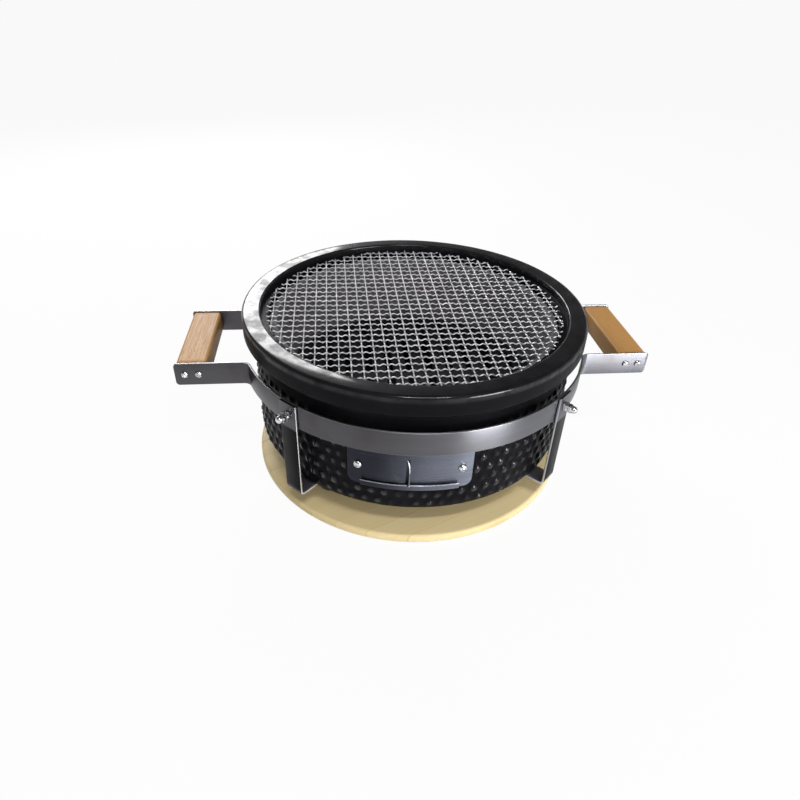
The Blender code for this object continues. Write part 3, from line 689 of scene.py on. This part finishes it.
weave = {"Wires": 28, "Pitch": 0.011, "Reach": 0.1557, "Wire Radius": 0.00066, "Crimp": 0.00078,
         "Half Waves": 3.0, "Sides": 6, "Sample": 0.0012, "Wobble": 0.0009, "Wobble Scale": 14.0,
         "Seed": 2.0}


def makeWeave(finish):  # two sets of crimped wires, over and under in turn
    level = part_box("cooking_mesh")[0].z + weave["Crimp"] + weave["Wire Radius"]
    values = {**weave, "Level": level, "Finish": finish}
    net, given = newTree("wovenMesh", values)
    middle = (given["Wires"] - 1.0) * 0.5
    both = []
    for turnedOver in (False, True):
        rows = net.add("GeometryNodeMeshLine", {"mode": "OFFSET"},
                       {"Count": given["Wires"],
                        "Start Location": net.vector(Y=middle * given["Pitch"] * -1.0),
                        "Offset": net.vector(Y=given["Pitch"])})
        side = net.split(net.add("GeometryNodeInputPosition"))[1]
        half = net.sum("SQRT", given["Reach"] * given["Reach"] - side * side)
        straight = net.add("GeometryNodeCurvePrimitiveLine", None,
                           {"Start": (-1, 0, 0), "End": (1, 0, 0)})
        wires = net.add("GeometryNodeInstanceOnPoints", None,
                        {"Points": rows, "Instance": straight,
                         "Scale": net.vector(X=half, Y=1.0, Z=1.0)})
        fine = net.add("GeometryNodeResampleCurve", {"mode": "LENGTH"},
                       {"Curve": net.add("GeometryNodeRealizeInstances", None, {0: wires}),
                        "Length": given["Sample"]})
        place = net.add("GeometryNodeInputPosition")
        along, across, _ = net.split(place)
        row = net.sum("ROUND", across / given["Pitch"] + middle)
        count = (along / given["Pitch"] + middle + row) * given["Half Waves"]
        wave = net.sum("COSINE", count * math.pi)
        drift = net.noise(place, given["Wobble Scale"], 1.0, 0.5,
                          given["Seed"] + (9.0 if turnedOver else 0.0))
        sway = across + (net.split(drift.pick("Color"))[1] - 0.5) * given["Wobble"]
        rise = given["Level"] + wave * given["Crimp"] * (-1.0 if turnedOver else 1.0)
        spot = net.vector(X=sway, Y=along, Z=rise) if turnedOver else net.vector(X=along, Y=sway, Z=rise)
        bent = net.add("GeometryNodeSetPosition", None, {"Geometry": fine, "Position": spot})
        circle = net.add("GeometryNodeCurvePrimitiveCircle", {"mode": "RADIUS"},
                         {"Resolution": given["Sides"], "Radius": given["Wire Radius"]})
        both.append(net.add("GeometryNodeCurveToMesh", None,
                            {"Curve": bent, "Profile Curve": circle, "Fill Caps": True}))
    joined = net.add("GeometryNodeJoinGeometry", None, {0: both})
    made = runTree(pointHost("wovenMesh", [((0, 0, 0), (0, 0, 1))]), net, joined)
    return softened(made, 60.0)


frameOuter = vent["inner"] + vent["plate"]  # radii of the vent's layers, from the wall outwards
doorInner = frameOuter + vent["fit"]
doorOuter = doorInner + vent["doorThickness"]
lipInner = doorOuter + vent["lipGap"]
lipOuter = lipInner + vent["lip"]


def makeVentPlate(finish):  # flat plate with a window, bent round the bowl
    reach = vent["inner"] * math.radians(vent["halfWidth"])
    tall = vent["halfHeight"]
    middle = vent["inner"] * math.radians(vent["portAngle"] - vent["angle"])
    half = vent["portWidth"] / 2
    outer = roundedBox((-reach, -tall), (reach, tall), vent["corner"], 8)
    window = roundedBox((middle - half, vent["portLow"] - vent["level"]),
                        (middle + half, vent["portHigh"] - vent["level"]), 0.002, 4)
    flat = bpy.data.curves.new("ventPlate", "CURVE")
    flat.dimensions = "2D"
    flat.fill_mode = "BOTH"
    flat.extrude = vent["plate"] / 2 - vent["plateEdge"]
    flat.bevel_depth = vent["plateEdge"]
    flat.bevel_resolution = 2
    flat.offset = -vent["plateEdge"]
    for outline in (outer, window):
        spline = flat.splines.new("POLY")
        spline.points.add(len(outline) - 1)
        for point, (a, b) in zip(spline.points, outline):
            point.co = (a, b, 0, 1)
        spline.use_cyclic_u = True
    solid = plain(linked("ventPlate", flat))
    bm = bmesh.new()
    bm.from_mesh(solid.data)
    bpy.data.objects.remove(solid, do_unlink=True)
    bmesh.ops.remove_doubles(bm, verts=bm.verts, dist=1e-6)
    far = max(abs(vert.co.x) for vert in bm.verts)
    steps = int(2 * far / 0.0025)
    for k in range(1, steps):  # upright cuts, so that it bends evenly
        geometry = bm.verts[:] + bm.edges[:] + bm.faces[:]
        bmesh.ops.bisect_plane(bm, geom=geometry, plane_co=(-far + 2 * far * k / steps, 0, 0),
                               plane_no=(1, 0, 0))
    unwrap(bm, ("flow",), lambda vert: [vert.co.xy])
    radius = vent["inner"] + vent["plate"] / 2
    for vert in bm.verts:
        a, b, c = vert.co
        angle = math.radians(vent["angle"]) + a / radius
        vert.co = spun([(radius + c, vent["level"] + b)], angle)[0]
    return addMesh("ventPlate", bm, finish, 30.0)


def makeRail(name, side, finish):  # folded over the door's edge, side is 1 for the upper one
    level = vent["level"]
    web = vent["railInside"]
    lip = web - vent["railFold"]
    back = web + vent["railWall"]
    foot = frameOuter - vent["railSink"]
    outline = rounded([(foot, level + side * back, 0), (lipOuter, level + side * back, 0.0009),
                       (lipOuter, level + side * lip, 0.0005), (lipInner, level + side * lip, 0.0003),
                       (lipInner, level + side * web, 0.0003), (foot, level + side * web, 0)], 4)
    steps = 60
    start = vent["angle"] - vent["trackHalf"]
    rows = [spun(outline, math.radians(start + 2 * vent["trackHalf"] * k / steps))
            for k in range(steps + 1)]
    bm = skinRows(rows, False)

    def spots(vert):
        x, y, z = vert.co
        wearAndHighlight = side < 0 and level - z < lip + 0.0006  # painted highlight on the lower lip
        return (math.atan2(y, x) * frameOuter, z), (int(wearAndHighlight), 0)

    unwrap(bm, ("flow", "across"), spots)
    return addMesh(name, bm, finish, 30.0)


def makeDoor(finish):  # one strip: the curved door, then the ear bent out
    middle = math.radians(vent["portAngle"])
    half = math.radians(vent["doorWidth"] / 2)
    radius = (doorInner + doorOuter) / 2
    edgeAt = middle + half - vent["earLean"] / radius
    path = bendArc(Vector((0, 0)), radius, middle - half, edgeAt - vent["earTurn"], 28)
    tall = vent["railInside"] - vent["fit"]
    rise = vent["earRise"]
    spans = [(-tall, tall)] * len(path) + [(-rise, rise)] * 5
    out = Vector((math.cos(edgeAt), math.sin(edgeAt)))
    corner = out * radius
    out = (out * vent["ear"] + Vector((-out.y, out.x)) * vent["earLean"]) / vent["ear"]
    path += bendCorner(path[-1], corner, corner + out * vent["earStart"], 5)
    length = vent["ear"] - vent["doorThickness"] / 2
    for k in range(1, 13):  # its upper corner sweeps out, the lower one is tighter
        reach = vent["earStart"] + (length - vent["earStart"]) * math.sin(math.pi / 2 * k / 12)
        path.append(corner + out * reach)
        part = 1 - math.sqrt(max(1 - (reach / length) ** 2, 0))
        spans.append((-rise + vent["earRound"] * part ** 3, rise - vent["earSweep"] * part))
    bm = strip(path, spans, vent["doorThickness"], lambda a, b, w: (a, b, vent["level"] + w))
    return addMesh("ventDoor", bm, finish, 30.0)


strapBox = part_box("front_strap")
strapShape = {"radius": 0.181, "thickness": 0.002, "armY": 0.0566, "bend": 0.007, "arcSteps": 75,
              "armCorner": 0.0035}


def strapPath():  # right half from the middle of the band, then mirrored
    radius = strapShape["radius"]
    armY = -strapShape["armY"]
    bend = strapShape["bend"]
    meeting = math.asin(armY / radius)
    arc = bendArc(Vector((0, 0)), radius, -math.pi / 2, meeting - bend / radius,
                  strapShape["arcSteps"])
    cornerPoint = Vector((radius * math.cos(meeting), armY))
    end = cornerPoint + Vector((bend, 0))
    curve = bendCorner(arc[-1], cornerPoint, end, 8)
    tip = strapBox[1].x
    corner = strapShape["armCorner"]
    straight = [Vector((end.x + (tip - corner - end.x) * k / 12, armY)) for k in range(1, 13)]
    turns = [math.pi / 2 * k / 6 for k in range(1, 7)]
    ending = [Vector((tip - corner * (1 - math.sin(turn)), armY)) for turn in turns]
    rightHalf = arc + curve + straight + ending
    leftHalf = [Vector((-point.x, point.y)) for point in reversed(rightHalf[1:])]
    return leftHalf + rightHalf, [corner * (1 - math.cos(turn)) for turn in turns]


def makeStrap(name, side, finish):  # band with an arm at each end, side is -1 at the rear
    path, insets = strapPath()
    low = strapBox[0].z
    high = strapBox[1].z
    spans = [(low, high)] * len(path)
    for k, inset in enumerate(reversed(insets)):
        spans[k] = spans[-1 - k] = (low + inset, high - inset)
    bm = strip(path, spans, strapShape["thickness"], lambda a, b, w: (side * a, side * b, w))
    return addMesh(name, bm, finish, 30.0)


legShape = {"face": 0.18345, "thickness": 0.0023, "width": 0.021, "bend": 0.0035, "plateEnd": 0.120,
            "nutSeat": 0.1849}
legAngles = {"front_left": -135.0, "front_right": -45.0, "rear_right": 45.0, "rear_left": 135.0}
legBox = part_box("leg_front_left")


def pieceName(kind, label):
    return kind + label.title().replace("_", "")


def makeLeg(label, degrees, finish):  # down from the strap, then bent in under the bowl
    top = legBox[1].z
    level = legBox[0].z + legShape["thickness"] / 2
    face = legShape["face"]
    bend = legShape["bend"]
    down = [Vector((face, top + (level + bend - top) * k / 12)) for k in range(12)]
    curve = bendArc(Vector((face - bend, level + bend)), bend, 0.0, -math.pi / 2, 8)
    inward = [Vector((face - bend + (legShape["plateEnd"] - face + bend) * k / 8, level))
              for k in range(1, 9)]
    path = down + curve + inward
    half = legShape["width"] / 2
    along = radial(degrees)
    across = Vector((-along.y, along.x, 0))
    bm = strip(path, [(-half, half)] * len(path), legShape["thickness"],
               lambda r, z, w: along * r + across * w + Vector((0, 0, z)))
    return addMesh(pieceName("leg", label), bm, finish, 30.0)


handleShape = {"round": 0.0032, "endRound": 0.0012, "steps": 16}


def makeHandle(side, finish):
    low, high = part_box(f"handle_{side}")
    end = handleShape["endRound"]
    taper = [(0.0, end), (end * 0.3, end * 0.45), (end, 0.0)]  # how far along, how far in
    steps = handleShape["steps"]
    length = high.y - low.y - 2 * end
    stations = [(low.y + along, inset) for along, inset in taper]
    stations += [(low.y + end + length * k / steps, 0.0) for k in range(1, steps)]
    stations += [(high.y - along, inset) for along, inset in reversed(taper)]
    rows = []
    for y, inset in stations:
        outline = roundedBox((low.x + inset, low.z + inset), (high.x - inset, high.z - inset),
                             handleShape["round"], 5)
        rows.append([(x, y, z) for x, z in outline])
    return addMesh(pieceName("handle", side), skinRows(rows, False), finish, 40.0)


handleScrew = {"Head Radius": 0.0037, "Head Height": 0.0025, "Shank Radius": 0.0018,
               "Shank Length": 0.012, "Recess Width": 0.0009, "Recess Length": 0.0042,
               "Recess Depth": 0.0012, "Seed": 3}
ventScrew = {"Head Radius": 0.0043, "Head Height": 0.0033, "Shank Radius": 0.002,
             "Shank Length": 0.008, "Recess Width": 0.0011, "Recess Length": 0.0050,
             "Recess Depth": 0.0015, "Seed": 8}
sides = ("left", "right")
handleScrews = {f"handle_screw_{side}_{end}_{number}": facing for side in sides
                for end, facing in (("front", -1), ("rear", 1)) for number in (1, 2)}


def makeHandleScrews(finish):
    places = []
    seatDepth = 0.0026  # from the top of the solid's head down to the arm
    for node, facing in handleScrews.items():
        low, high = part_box(node)
        spot = (low + high) / 2
        spot.y = facing * (max(abs(low.y), abs(high.y)) - seatDepth)
        places.append((spot, (0, facing, 0)))
    return screwSet("handleScrews", places, handleScrew, finish)


def makeVentScrews(finish):
    places = []
    for side in (-1, 1):
        out = radial(vent["angle"] + side * vent["screwAngle"])
        places.append((out * (frameOuter + vent["screwLift"]) + Vector((0, 0, vent["level"])), out))
    return screwSet("ventScrews", places, ventScrew, finish)


legFastener = {"Nut Radius": 0.0052, "Nut Height": 0.0044, "Cap Radius": 0.0047, "Cap Hex": 0.0032,
               "Cap Height": 0.0085, "Play": 0.0003, "Seed": 5}


def makeLegFasteners(finish):  # chamfered hex nut and domed cap nut on each leg bolt
    values = {**legFastener, "Finish": finish}
    net, given = newTree("legFasteners", values)
    wide, tall = given["Nut Radius"], given["Nut Height"]
    nut = common(net, column(net, wide, given["Play"] * 0.1, tall, 6),
                 ball(net, wide * 1.02, tall * 0.95, tall * 0.5))
    seat = tall + given["Play"]
    wide, tall, hexTall = given["Cap Radius"], given["Cap Height"], given["Cap Hex"]
    hexPart = common(net, column(net, wide, seat, seat + hexTall, 6),
                     ball(net, wide * 1.03, hexTall * 1.1, seat + hexTall * 0.4))
    neck = column(net, wide * 0.80, seat, seat + tall * 0.55, 32)
    dome = ball(net, wide * 0.80, tall * 0.45, seat + tall * 0.55)
    whole = net.add("GeometryNodeJoinGeometry", None, {0: [nut, hexPart, neck, dome]})
    placed = standOn(net, given["Geometry"], whole, given["Seed"])
    low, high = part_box("leg_nut_front_left")
    middle = Vector((0, 0, (low.z + high.z) / 2))
    places = [(radial(degrees) * legShape["nutSeat"] + middle, radial(degrees))
              for degrees in legAngles.values()]
    return softened(runTree(pointHost("legFasteners", places), net, placed), 30.0)


def makeFoot(label, finish):
    low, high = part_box(f"foot_{label}")
    wide = (high.x - low.x) / 2
    tall = high.z - low.z
    outline = rounded([(0, 0, 0), (wide * 0.86, 0, 0.0015), (wide, tall * 0.2, 0.002),
                       (wide, tall, 0.001), (0, tall, 0)])
    foot = turned(pieceName("foot", label), outline, finish, 48)
    foot.data.transform(Matrix.Translation(((low.x + high.x) / 2, (low.y + high.y) / 2, low.z)))
    return foot


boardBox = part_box("base_board")
boardShape = {"edge": 0.0035}


def makeBoard(finish):
    edge = boardShape["edge"]
    outer = boardBox[1].x
    top = boardBox[1].z
    outline = rounded([(0, 0, 0), (outer, 0, edge), (outer, top, edge), (0, top, 0)])
    return turned("baseBoard", outline, finish, 220)


def dress(piece, body, slot, *nodes):
    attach(piece, body)
    if nodes:
        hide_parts(*nodes)


def buildGrill():
    glaze = makeGlaze()
    fireclay = makeFireclay()
    iron = makeCastIron()
    wire = makeMeshWire()
    brushed = makeSteel("brushedStrapSteel", strapSteel)
    shadedLegSteel = makeSteel("darkLegSteel", legSteel)
    blueSteel = makeSteel("blueGreyVentSteel", ventSteel)
    bright = makeBrightSteel()
    oak = makeHandleWood()
    pine = makePine()
    rubber = makeRubber()
    print("finishes made")

    dress(makeBoard(pine), "board", "pine_board", "base_board")
    dress(makeBowl(glaze), "bowl", "glazed_clay", "ceramic_bowl")
    print("bowl made")
    dress(makeLiner(fireclay), "fire_bowl", "fireclay", "fire_bowl")
    dress(makeWeave(wire), "cooking_mesh", "mesh_wire", "cooking_mesh")
    print("mesh woven")
    dress(makeVentPlate(blueSteel), "bowl", "brushed_steel", "vent_frame")
    for name, side in (("ventRailLower", -1), ("ventRailUpper", 1)):
        dress(makeRail(name, side, blueSteel), "bowl", "brushed_steel")
    dress(makeDoor(blueSteel), "vent_slider", "brushed_steel", "vent_door")
    dress(makeVentScrews(bright), "bowl", "bright_steel", "vent_screw_left", "vent_screw_right")
    print("vent made")
    dress(makeStrap("frontStrap", 1, brushed), "cradle", "brushed_steel", "front_strap")
    dress(makeStrap("rearStrap", -1, brushed), "cradle", "brushed_steel", "rear_strap")
    for label, degrees in legAngles.items():
        dress(makeLeg(label, degrees, shadedLegSteel), "cradle", "brushed_steel", f"leg_{label}")
    for side in sides:
        dress(makeHandle(side, oak), "cradle", "handle_wood", f"handle_{side}")
    dress(makeHandleScrews(bright), "cradle", "bright_steel", *handleScrews)
    nuts = [f"leg_{kind}_{label}" for kind in ("nut", "cap_nut") for label in legAngles]
    dress(makeLegFasteners(bright), "cradle", "bright_steel", *nuts)
    for label in legAngles:
        dress(makeFoot(label, rubber), "cradle", "foot_rubber", f"foot_{label}")
    print("cradle made")

    kept = {"charcoal_grate": iron}  # solids that stay and only get a finish
    for kind in ("leg_bolt", "foot_screw"):
        kept.update({f"{kind}_{label}": bright for label in legAngles})
    for node, finish in kept.items():
        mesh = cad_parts[node].data
        mesh.materials.clear()
        mesh.materials.append(finish)


studio = {"floorRadius": 30.0, "floorTone": 0.8, "floorGlow": 0.94, "mirroredGlow": 0.55,
          "horizon": 1.0, "ceiling": 0.14, "fadeFrom": 0.1, "fadeTo": 0.3}
softboxes = {"keyRight": {"place": (0.90, -1.19, 0.38), "target": (0, 0, 0.12),
                          "size": (0.62, 0.5), "power": 19.0},
             "topFront": {"place": (0.05, -0.86, 1.35), "target": (0, 0, 0.15),
                          "size": (0.55, 0.12), "power": 8.0},
             "window": {"place": (-0.50, 1.42, 0.90), "target": (-0.05, 0, 0.17),
                        "size": (0.95, 0.55), "power": 20.0}}
cameraView = {"place": (-0.08433, -0.59170, 0.46950), "heading": 83.01, "pitch": 35.02,
              "roll": 2.29, "lens": 27.82}


def makeFloor():  # pale, with a glow for the camera and in reflections
    bm = bmesh.new()
    bmesh.ops.create_circle(bm, cap_ends=True, segments=96, radius=studio["floorRadius"])
    net = Finish("paleFloor", studio, {"Roughness": 0.9, "Specular IOR Level": 0.1})
    level = studio["floorTone"]
    tone = net.mix(net.noise(net.place, 3.0, 2.0), (level,) * 3, (level + 0.02,) * 3)
    net.feed(tone, net.shader.inputs["Base Color"])
    glow = net.add("ShaderNodeEmission", None, {"Color": (1, 1, 1), "Strength": 1.0})
    path = net.add("ShaderNodeLightPath")
    mirrored = net.sum("MAXIMUM", path.pick("Is Glossy Ray"), path.pick("Is Transmission Ray"))
    seen = net.sum("MAXIMUM", path.pick("Is Camera Ray") * studio["floorGlow"],
                   mirrored * studio["mirroredGlow"])
    mixed = net.add("ShaderNodeMixShader", None,
                    {0: seen, 1: Wire(net, net.shader.outputs[0]), 2: glow})
    net.feed(mixed, net.tree.nodes["Material Output"].inputs["Surface"])
    addMesh("floor", bm, net.material)


def makeWorld():  # white to the camera, dimmer overhead as a light
    world = bpy.data.worlds.new("studio")
    bpy.context.scene.world = world
    world.use_nodes = True
    net = Net(world.node_tree)
    back = world.node_tree.nodes["Background"]
    back.inputs["Color"].default_value = (1, 1, 1, 1)
    up = net.split(net.add("ShaderNodeTexCoord").pick("Generated"))[2]
    glow = net.ease(up, studio["fadeFrom"], studio["fadeTo"], studio["horizon"], studio["ceiling"])
    seen = net.add("ShaderNodeLightPath").pick("Is Camera Ray") * studio["horizon"]
    net.feed(net.sum("MAXIMUM", glow, seen), back.inputs["Strength"])


def makeSoftbox(name, box):
    data = bpy.data.lights.new(name, "AREA")
    data.shape = "RECTANGLE"
    data.size, data.size_y = box["size"]
    data.energy = box["power"]
    lamp = linked(name, data)
    lamp.location = box["place"]
    towards = Vector(box["target"]) - Vector(box["place"])
    lamp.rotation_euler = towards.to_track_quat("-Z", "Y").to_euler()
    lamp.visible_camera = False


def makeCamera():
    view = cameraView
    data = bpy.data.cameras.new("camera")
    data.lens = view["lens"]
    data.sensor_width = 36.0
    data.clip_start = 0.01
    place = Matrix.Translation(view["place"])
    for degrees, axis in ((view["heading"] - 90, "Z"), (90 - view["pitch"], "X"), (view["roll"], "Z")):
        place = place @ Matrix.Rotation(math.radians(degrees), 4, axis)
    camera = linked("camera", data)
    camera.matrix_world = place
    bpy.context.scene.camera = camera


def lightStage():
    makeFloor()
    makeWorld()
    for name, box in softboxes.items():
        makeSoftbox(name, box)
    makeCamera()
    bpy.context.scene.view_settings.view_transform = "Standard"


buildGrill()
lightStage()
print("stage lit")
